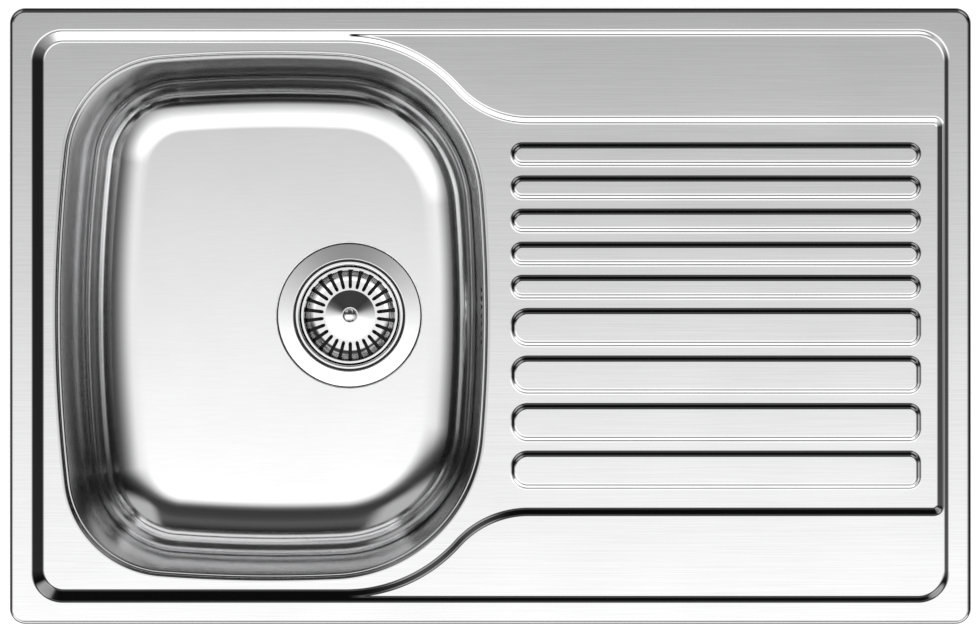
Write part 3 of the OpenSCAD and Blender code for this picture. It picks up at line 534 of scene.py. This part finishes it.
def around(r, z, angles):
    """Points of one circle round the z axis."""
    return np.column_stack([r*np.cos(angles), r*np.sin(angles), np.full(len(angles), z)])


def bowl_floor(foot):
    """The flat floor between the wall's foot and the recess of the waste."""
    edge = arc(WASTE_X, 0, RECESS_EDGE_R, 0, 360, RECESS_SEGS)[:-1]
    xy, fs = triangulate(*closed_loops(foot, edge), JOIN, inside_only=True)
    faces = []
    for f in fs:
        c = xy[list(f)].mean(0)
        if np.hypot(c[0] - WASTE_X, c[1]) > RECESS_EDGE_R - 0.1:
            faces.append(wound(f, xy, True))
    return (np.column_stack([xy, np.full(len(xy), FLOOR_Z)]),
            np.repeat([[0, 0, 1.0]], len(xy), 0), faces)


def waste_recess():
    """The round recess, down to the hole of the waste."""
    low = FLOOR_Z - RECESS_DEPTH
    pts, nor = filleted([(RECESS_EDGE_R, FLOOR_Z), (RECESS_R, FLOOR_Z), (RECESS_R, low),
                         (RECESS_HOLE_R, low)], [0, 0.9, 0.9, 0], [0, 6, 6, 0])
    a = np.radians(np.arange(RECESS_SEGS)*360/RECESS_SEGS)
    verts = np.vstack([around(r, z, a) + AXIS for r, z in pts])
    # Travel is inwards, so the left side is downwards and the normals are turned over
    normals = np.vstack([around(-nr, -nz, a) for nr, nz in nor])
    return verts, normals, quads(len(pts), RECESS_SEGS, upwards=True)


def bowl_mesh():
    profile, profile_normals, first = bowl_profile()
    wall = bowl_wall(profile, profile_normals, first)
    foot = wall[0][-len(ST):, :2]
    return merge(*joined([wall, overflow_window(), bowl_floor(foot), waste_recess()]))


CUP_R, CUP_Z, SEAT_R, SCREW_R, HUB_R, BAR_HALF, HUB_SHEET = 43.0, -190.0, 24.0, 5.0, 9.0, 2.5, 1.5
HUB_TOP = CUP_Z - 4.0
BASKET_Z, PIN_R, KNOB_H, KNOB_SEGS = -183.9, 3.0, 14.0, 72
CONE_Z = BASKET_Z + 3.4
# The basket's slots run from radius 23.2 on its floor to z -173.9 on its wall, with round ends
BASKET_SLOTS, BASKET_SLOT_HALF, NARROWEST, LAND_STEPS = 26, 1.5, 0.4, 5
SLOT_FROM_R, SLOT_TO_Z, ON_WALL_R = 23.2, -173.9, 30.0
ROUND_FLOOR_R, ROUND_FLOOR_REACH = 25.0, 1.85
ROUND_WALL_Z, ROUND_WALL_REACH, FULL_BELOW_Z = -175.4, 1.6, -174.85
FLOOR_ROWS = (SLOT_FROM_R, 23.5, 24.3, 25.2, 28.0)
SLOT_WALL_ROWS = (ROUND_WALL_Z, -174.9, -174.2, SLOT_TO_Z)


def turned(profile, angles):
    return np.vstack([around(r, z, angles) + AXIS for r, z in profile])


def flange_mesh():
    """The flange that tilts a little outwards, its step, the cup and the cross under it."""
    pts, nor = filleted(
        [(SEAT_R - 1.0, CUP_Z - 4.6), (SEAT_R - 1.0, CUP_Z), (CUP_R, CUP_Z), (CUP_R, -163.1),
         (47.8, -163.1), (47.8, -161.55), (61.3, -162.4), (61.3, -162.9)],
        [0, 0.8, 2.6, 1.5, 0.6, 0.9, 0.3, 0], [0, 4, 8, 6, 4, 6, 3, 0])
    angles = np.radians(np.arange(180)*2.0)
    normals = np.vstack([around(nr, nz, angles) for nr, nz in nor])
    cup = thicken(turned(pts, angles), normals, quads(len(pts), len(angles)), STRAINER_SHEET)

    # The cross is two bars and a ring, in one outline
    a0 = math.degrees(math.asin(BAR_HALF/HUB_R))
    quarter = [(SEAT_R + 0.4, -BAR_HALF), (SEAT_R + 0.4, BAR_HALF),
               *arc(0, 0, HUB_R, a0, 90 - a0, 8)]
    outline = []
    for q in range(4):
        c, s = math.cos(math.radians(90*q)), math.sin(math.radians(90*q))
        outline += [(c*x - s*y, s*x + c*y) for x, y in quarter]
    hole = arc(0, 0, SCREW_R + 0.2, 0, 360, 32)[:-1]
    xy, fs = triangulate(*closed_loops(outline, hole), JOIN, inside_only=True)
    faces = [tuple(int(i) for i in g) for g in fs
             if np.hypot(*xy[list(g)].mean(0)) > SCREW_R + 0.1]
    top = np.column_stack([xy, np.full(len(xy), HUB_TOP)]) + AXIS
    cross = thicken(top, np.repeat([[0, 0, 1.0]], len(top), 0), faces, HUB_SHEET)
    n0 = len(cup[0])
    return (np.vstack([cup[0], cross[0]]),
            cup[1] + [tuple(n0 + i for i in g) for g in cross[1]], cup[2] + cross[2])


def basket_profile():
    """The basket's profile and its normals, with extra rows where the slots begin and end."""
    pts, nor = filleted(
        [(PIN_R + 1.0, CONE_Z), (7.0, CONE_Z), (21.6, BASKET_Z), (38.2, BASKET_Z),
         (38.8, -168.4), (39.5, -166.1), (41.6, -166.1), (41.9, -167.3)],
        [0, 0.8, 2.0, 8.4, 0.8, 0.4, 0.5, 0], [0, 3, 4, 14, 3, 3, 3, 0])
    rows, normals = [pts[0]], [nor[0]]
    for a, b, na, nb in zip(pts[:-1], pts[1:], nor[:-1], nor[1:]):
        level, on_wall = abs(a[1] - b[1]) < 0.5, a[0] > ON_WALL_R
        cuts = [(r - a[0])/(b[0] - a[0]) for r in FLOOR_ROWS if level and a[0] < r < b[0]]
        cuts += [(z - a[1])/(b[1] - a[1]) for z in SLOT_WALL_ROWS if on_wall and a[1] < z < b[1]]
        for t in cuts:
            rows.append(a + (b - a)*t)
            q = na + (nb - na)*t
            normals.append(q/np.linalg.norm(q))
        rows.append(b)
        normals.append(nb)
    return np.array(rows), np.array(normals)


def round_end(past, reach):
    """The share of a slot's width that is left past the start of its round end."""
    return max(math.sqrt(max(1 - (max(0.0, past)/reach)**2, 0)), NARROWEST)


def slot_half(r, z):
    """Half the width between a slot's two columns of points."""
    if r < SLOT_FROM_R - 0.1:
        return BASKET_SLOT_HALF*NARROWEST*(r/SLOT_FROM_R)
    if r < ON_WALL_R:
        return BASKET_SLOT_HALF*round_end(ROUND_FLOOR_R - r, ROUND_FLOOR_REACH)
    if z < FULL_BELOW_Z:
        return BASKET_SLOT_HALF
    return BASKET_SLOT_HALF*round_end(z - ROUND_WALL_Z, ROUND_WALL_REACH)


def basket_mesh():
    """A low cone under the knob, a flat floor, slots that run up the wall, and a rolled rim."""
    rows, row_normals = basket_profile()
    pitch = 2*math.pi/BASKET_SLOTS
    base = np.array([(k + 0.5)*2*math.pi/BASKET_SLOTS for k in range(BASKET_SLOTS)])
    verts, nor = [], []
    for (r, z), (nr, nz) in zip(rows, row_normals):
        a = math.asin(slot_half(r, z)/r)
        land = [a + (pitch - 2*a)*q/LAND_STEPS for q in range(1, LAND_STEPS)]
        local = np.array([-a, 0.0, a] + land)
        angles = (base[:, None] + local[None, :]).ravel()
        verts.append(around(r, z, angles) + AXIS)
        nor.append(around(nr, nz, angles))
    cols = len(local)

    def slot(i, j):
        (r0, z0), (_, z1) = rows[i], rows[i + 1]
        return j % cols < 2 and r0 > SLOT_FROM_R - 0.05 and max(z0, z1) < SLOT_TO_Z + 0.05

    return np.vstack(verts), np.vstack(nor), quads(len(rows), BASKET_SLOTS*cols, skip=slot)


def knob_mesh():
    """The knob's bore, its turned-in foot, its neck and its dome, as one turned profile."""
    z, top = CONE_Z + 0.1, BASKET_Z + KNOB_H
    bore = [(0.05, CONE_Z + 3.0), (PIN_R + 0.05, CONE_Z + 3.0), (PIN_R + 0.05, z)]
    neck, _ = filleted(
        [(PIN_R + 1.0, z), (5.2, z), (4.2, CONE_Z + 1.2), (4.2, top - 8.0), (5.6, top - 7.6)],
        [0, 0.4, 0.6, 0.6, 0], [0, 3, 3, 3, 0])
    edge = arc(4.93, top - 2.62, 1.2, 0, 58, 8)
    cap = arc(0, top - 10.5, 10.5, 58, 89.4, 14)[1:]
    profile = np.vstack([bore, neck, [[6.13, top - 7.2]], edge, cap])
    verts = turned(profile, np.radians(np.arange(KNOB_SEGS)*360/KNOB_SEGS))
    faces = [tuple(reversed(g)) for g in quads(len(profile), KNOB_SEGS)]
    faces.append(tuple(reversed(range(KNOB_SEGS))))
    faces.append(tuple(range(len(verts) - KNOB_SEGS, len(verts))))
    return verts, faces


BUMP_DEPTH = 0.0002
# The part of a noise's range that is used, and how far tone and roughness vary with it
NOISE_LO, NOISE_HI, TONE_VARY, ROUGH_VARY = 0.3, 0.7, 0.08, 0.15
# Scales of the patterns that vary slowly; the broad one is a share of the grain's
BROAD, STEEL_CLOUD, PLAIN_CLOUD, CLOUD_LO, CLOUD_HI = 0.22, 9.0, 30.0, 0.35, 0.65


def shader_of(name):
    mat = bpy.data.materials.new(name)
    mat.use_nodes = True
    return mat, mat.node_tree, mat.node_tree.nodes["Principled BSDF"]


def add(nt, kind, **values):
    """A new node; a value goes to the input of that name, or else to the node's own setting."""
    n = nt.nodes.new(kind)
    for k, v in values.items():
        if k in n.inputs:
            n.inputs[k].default_value = v
        else:
            setattr(n, k, v)
    return n


def maths(nt, operation, a, b=None):
    """A Math node's output; a and b are sockets or numbers."""
    node = add(nt, "ShaderNodeMath", operation=operation)
    for socket, q in zip(node.inputs, (a, b)):
        if isinstance(q, (int, float)):
            socket.default_value = q
        elif q is not None:
            nt.links.new(q, socket)
    return node.outputs[0]


def remap(nt, value, lo, hi, out_lo=0.0, out_hi=1.0, kind="LINEAR"):
    r = add(nt, "ShaderNodeMapRange", interpolation_type=kind)
    for key, level in {"From Min": lo, "From Max": hi, "To Min": out_lo, "To Max": out_hi}.items():
        r.inputs[key].default_value = level
    nt.links.new(value, r.inputs["Value"])
    return r.outputs["Result"]


def noise(nt, coord, scale, detail, rough):
    mapping = add(nt, "ShaderNodeMapping", Scale=scale)
    nt.links.new(coord, mapping.inputs["Vector"])
    n = add(nt, "ShaderNodeTexNoise", Detail=detail, Roughness=rough, Scale=1.0)
    nt.links.new(mapping.outputs["Vector"], n.inputs["Vector"])
    return n.outputs["Fac"]


def add_roughness(nt, bsdf, pattern, rough):
    top = min(rough*(1 + ROUGH_VARY), 1.0)
    level = remap(nt, pattern, NOISE_LO, NOISE_HI, rough*(1 - ROUGH_VARY), top)
    nt.links.new(level, bsdf.inputs["Roughness"])


def add_bump(nt, bsdf, height, strength):
    bump = add(nt, "ShaderNodeBump", Strength=strength, Distance=BUMP_DEPTH)
    nt.links.new(height, bump.inputs["Height"])
    nt.links.new(bump.outputs["Normal"], bsdf.inputs["Normal"])


def steel(name, grain=(14.0, 1500.0, 1500.0), tone=0.72, rough=0.2, aniso=0.4,
          tangent=(1.0, 0.0, 0.0), bump=0.03, streak=0.05, wear=0.015, painted_shade=None):
    """Brushed steel; the last argument is a low and a high z in metres and the share of the tone at
    each: painted shade that darkens the colour by height.
    """
    mat, nt, bsdf = shader_of(name)
    co = add(nt, "ShaderNodeTexCoord").outputs["Object"]
    fine = noise(nt, co, grain, 4.0, 0.6)
    broad = noise(nt, co, tuple(g*BROAD for g in grain), 2.0, 0.5)
    cloud = noise(nt, co, (STEEL_CLOUD,)*3, 3.0, 0.5)
    tint = remap(nt, fine, NOISE_LO, NOISE_HI, tone*(1 - streak), tone*(1 + streak))
    level = remap(nt, cloud, CLOUD_LO, CLOUD_HI, 1 - wear, 1 + wear)
    # Painted shade: the tone is scaled down by height, darker on the bowl's walls and in the cup
    # under the flange
    if painted_shade:
        at = add(nt, "ShaderNodeSeparateXYZ")
        nt.links.new(co, at.inputs[0])
        level = maths(nt, "MULTIPLY", level, remap(nt, at.outputs[2], *painted_shade))
    tint = maths(nt, "MULTIPLY", tint, level)
    colour = add(nt, "ShaderNodeCombineColor")
    for socket, share in zip(colour.inputs, (1.0, 1.0, 1.005)):
        nt.links.new(maths(nt, "MULTIPLY", tint, share), socket)
    nt.links.new(colour.outputs[0], bsdf.inputs["Base Color"])
    add_roughness(nt, bsdf, broad, rough)
    add_bump(nt, bsdf, fine, bump)
    bsdf.inputs["Metallic"].default_value = 1.0
    bsdf.inputs["Anisotropic"].default_value = aniso
    if tangent:
        tv = add(nt, "ShaderNodeCombineXYZ", X=tangent[0], Y=tangent[1], Z=tangent[2])
        nt.links.new(tv.outputs[0], bsdf.inputs["Tangent"])
    return mat


def plain(name, colour, rough=0.5, metallic=0.0, grain=400.0, bump=0.1):
    """Rubber, foam, plastic or plated metal, with a tone that varies a little."""
    mat, nt, bsdf = shader_of(name)
    co = add(nt, "ShaderNodeTexCoord").outputs["Object"]
    fine = noise(nt, co, (grain,)*3, 4.0, 0.6)
    cloud = noise(nt, co, (PLAIN_CLOUD,)*3, 2.0, 0.5)
    mix = add(nt, "ShaderNodeMix", data_type="RGBA")
    nt.links.new(remap(nt, cloud, NOISE_LO, NOISE_HI), mix.inputs[0])
    mix.inputs[6].default_value = [c*(1 - TONE_VARY) for c in colour] + [1]
    mix.inputs[7].default_value = [c*(1 + TONE_VARY) for c in colour] + [1]
    nt.links.new(mix.outputs[2], bsdf.inputs["Base Color"])
    add_roughness(nt, bsdf, fine, rough)
    add_bump(nt, bsdf, fine, bump)
    bsdf.inputs["Metallic"].default_value = metallic
    return mat


# Painted shade: the bowl's walls have 0.72 of its floor's tone, and the cup below the flange has
# 0.02 of the flange's, as darker colour that stands in for the dark reflections they would mirror
POLISH = dict(grain=(300.0, 300.0, 300.0), tone=0.86, rough=0.06, aniso=0.0, tangent=None,
              bump=0.01, streak=0.015)
DECK_STEEL = steel("deck_steel", rough=0.07, aniso=0.2)
BOWL_STEEL = steel("bowl_steel", grain=(40.0, 900.0, 900.0), tone=0.84, rough=0.12, aniso=0.1,
                   bump=0.015, streak=0.015, painted_shade=(-0.135, -0.115, 1.0, 0.72))
POLISHED = steel("polished_steel", **POLISH)
FLANGE = steel("flange_steel", painted_shade=(-0.168, -0.166, 0.02, 1.0), **POLISH)
FINISH = {
    "deck_steel": DECK_STEEL, "bowl_steel": BOWL_STEEL, "flange_steel": FLANGE,
    "basket_steel": POLISHED, "stem_steel": POLISHED, "knob_steel": POLISHED,
    "screw_steel": POLISHED,
    "seal_foam": plain("seal_foam", (0.05, 0.05, 0.055), 0.9, grain=900.0, bump=0.5),
    "bracket_steel": plain("bracket_steel", (0.55, 0.56, 0.57), 0.4, 1.0),
    "seal_rubber": plain("seal_rubber", (0.03, 0.03, 0.03), 0.7),
    "white_plastic": plain("white_plastic", (0.72, 0.72, 0.70), 0.4),
    "stopper_rubber": plain("stopper_rubber", (0.02, 0.02, 0.02), 0.6),
    "pipe_plastic": plain("pipe_plastic", (0.45, 0.46, 0.47), 0.45),
    "nut_plastic": plain("nut_plastic", (0.72, 0.72, 0.70), 0.4),
    "clamp_screw_steel": plain("clamp_screw_steel", (0.62, 0.63, 0.66), 0.3, 1.0),
    "claw_steel": plain("claw_steel", (0.52, 0.53, 0.55), 0.35, 1.0),
}
slot_of = {s["node"]: s["material_slot"] for s in frame["record"]["subparts"]}
for node, ob in frame["nodes"].items():
    if not ob.data.materials:
        ob.data.materials.append(None)
    for material_slot in ob.material_slots:
        material_slot.material = FINISH[slot_of[node]]

v, f, normals = thicken(*deck_mesh(), SHEET)
deck = object_of("deck_sheet", v, f, normals, "sink", DECK_STEEL)
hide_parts("deck_pressing")

v, f, normals = thicken(*bowl_mesh(), SHEET)
bowl = object_of("bowl_sheet", v, f, normals, "sink", BOWL_STEEL)
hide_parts("bowl")

v, f, normals = flange_mesh()
flange = object_of("flange_sheet", v, f, normals, "sink", FLANGE)
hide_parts("strainer_flange")

v, f = knob_mesh()
knob = object_of("knob_turned", v, f, None, "basket", POLISHED)
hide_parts("basket_knob")

v, f, normals = thicken(*basket_mesh(), STRAINER_SHEET)
basket = object_of("basket_sheet", v, f, normals, "basket", POLISHED)
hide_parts("basket_cup")

# The room and the camera are in metres
ROOM_FLOOR, ROOM_HALF, ROOM_TOP = -0.2365, 40.0, 30.0


def stage_piece(name, verts, faces, glow):
    me = bpy.data.meshes.new(name)
    me.from_pydata(verts, [], faces)
    ob = bpy.data.objects.new(name, me)
    bpy.context.scene.collection.objects.link(ob)
    mat, _, bsdf = shader_of(name + "_white")
    bsdf.inputs["Base Color"].default_value = (0.9, 0.9, 0.9, 1)
    bsdf.inputs["Roughness"].default_value = 0.9
    bsdf.inputs["Emission Color"].default_value = (1, 1, 1, 1)
    bsdf.inputs["Emission Strength"].default_value = glow
    me.materials.append(mat)
    # The metal mirrors the studio's light instead
    ob.visible_glossy = False
    return ob


corners = [(x*ROOM_HALF, y*ROOM_HALF) for x, y in ((-1, -1), (1, -1), (1, 1), (-1, 1))]
stage_piece("floor", [(x, y, ROOM_FLOOR) for x, y in corners], [(0, 1, 2, 3)], 0.75)
backdrop = stage_piece("backdrop", [(x, y, z) for z in (ROOM_FLOOR, ROOM_TOP) for x, y in corners],
                       [(i + 4, (i + 1) % 4 + 4, (i + 1) % 4, i) for i in range(4)], 1.0)
backdrop.visible_diffuse = False
backdrop.visible_shadow = False

# The studio is a world whose light depends on direction: each curve's stops are a component of the
# direction, from -1 to 1, and the light's level there
LENGTHWAYS = [
    (-1.0, 0.0), (-0.94, 0.002), (-0.88, 0.02), (-0.8, 0.05), (-0.7, 0.06), (-0.6, 0.04),
    (-0.5, 0.03), (-0.3, 0.025), (-0.2, 0.07), (-0.14, 0.18), (-0.09, 0.33), (0.0, 0.554),
    (0.09, 0.78), (0.2, 0.95), (0.32, 0.92), (0.5, 0.7), (0.8, 0.32), (0.84, 0.1), (0.87, 0.01),
    (1.0, 0.005)]
SIDEWAYS = [
    (-1.0, 0.0), (-0.96, 0.0), (-0.92, 0.12), (-0.8, 0.42), (-0.65, 0.8), (-0.55, 1.0),
    (0.25, 1.0), (0.39, 0.85), (0.55, 0.55), (0.67, 0.33), (0.8, 0.14), (0.9, 0.05), (0.96, 0.0),
    (1.0, 0.0)]
LIGHT_LEVEL, FILL_LEVEL, BELOW_LEVEL, DARKEST = 1.75, 0.3, 0.55, 0.002

world = bpy.data.worlds.new("studio")
bpy.context.scene.world = world
world.use_nodes = True
wt = world.node_tree
background = wt.nodes["Background"]
direction = add(wt, "ShaderNodeSeparateXYZ")
wt.links.new(add(wt, "ShaderNodeTexCoord").outputs["Generated"], direction.inputs[0])
across, back, up = direction.outputs


def times(a, b):
    return maths(wt, "MULTIPLY", a, b)


def rising(value, lo, hi):
    """0 below lo and 1 above hi, smooth between."""
    return remap(wt, value, lo, hi, kind="SMOOTHSTEP")


def curve(value, stops):
    r = add(wt, "ShaderNodeValToRGB")
    wt.links.new(maths(wt, "ADD", times(value, 0.5), 0.5), r.inputs[0])
    r.color_ramp.interpolation = "LINEAR"
    ends = r.color_ramp.elements
    ends[0].position, ends[1].position = (stops[0][0] + 1)/2, (stops[-1][0] + 1)/2
    ends[0].color, ends[1].color = (stops[0][1],)*3 + (1,), (stops[-1][1],)*3 + (1,)
    for at, level in stops[1:-1]:
        ends.new((at + 1)/2).color = (level,)*3 + (1,)
    return r.outputs[0]


forward = times(back, -1.0)
ceiling = times(curve(forward, LENGTHWAYS), curve(across, SIDEWAYS))
# A low band of light in front, for the slopes that face forwards
band = times(maths(wt, "SUBTRACT", 1.0, rising(up, 0.31, 0.37)), rising(forward, 0.4, 0.58))
# A fill light at each rear corner, above the low band, for the views from the front corners
fill = times(rising(maths(wt, "ABSOLUTE", across), 0.2, 0.4), rising(back, 0.35, 0.55))
fill = times(times(fill, rising(up, 0.3, 0.38)), FILL_LEVEL)
light = maths(wt, "MAXIMUM", ceiling, maths(wt, "MAXIMUM", band, fill))
light = times(times(light, rising(up, -0.05, 0.1)), LIGHT_LEVEL)
light = maths(wt, "ADD", light, DARKEST)
# Below the horizon the pale floor lights the outside of the bowl and the fittings
below = times(rising(times(up, -1.0), 0.2, 0.45), BELOW_LEVEL)
wt.links.new(maths(wt, "ADD", light, below), background.inputs["Strength"])
background.inputs["Color"].default_value = (1, 1, 1, 1)

# The camera looks straight down; its shift centres the sink as the photo frames it
FIELD, SENSOR = 0.7938, 36.0
CAM_Y, CAM_D = 0.01, 2.71
CENTRE_X, CENTRE_Y = -0.0003, -0.0004
cam_data = bpy.data.cameras.new("camera")
cam = bpy.data.objects.new("camera", cam_data)
bpy.context.scene.collection.objects.link(cam)
cam_data.sensor_width = SENSOR
cam_data.lens = SENSOR*CAM_D/FIELD
cam_data.shift_x = CENTRE_X/FIELD
cam_data.shift_y = (CENTRE_Y - CAM_Y)/FIELD
cam.location = (0.0, CAM_Y, CAM_D + RIM_Z*MM)
bpy.context.scene.camera = cam
bpy.context.scene.view_settings.view_transform = "Standard"
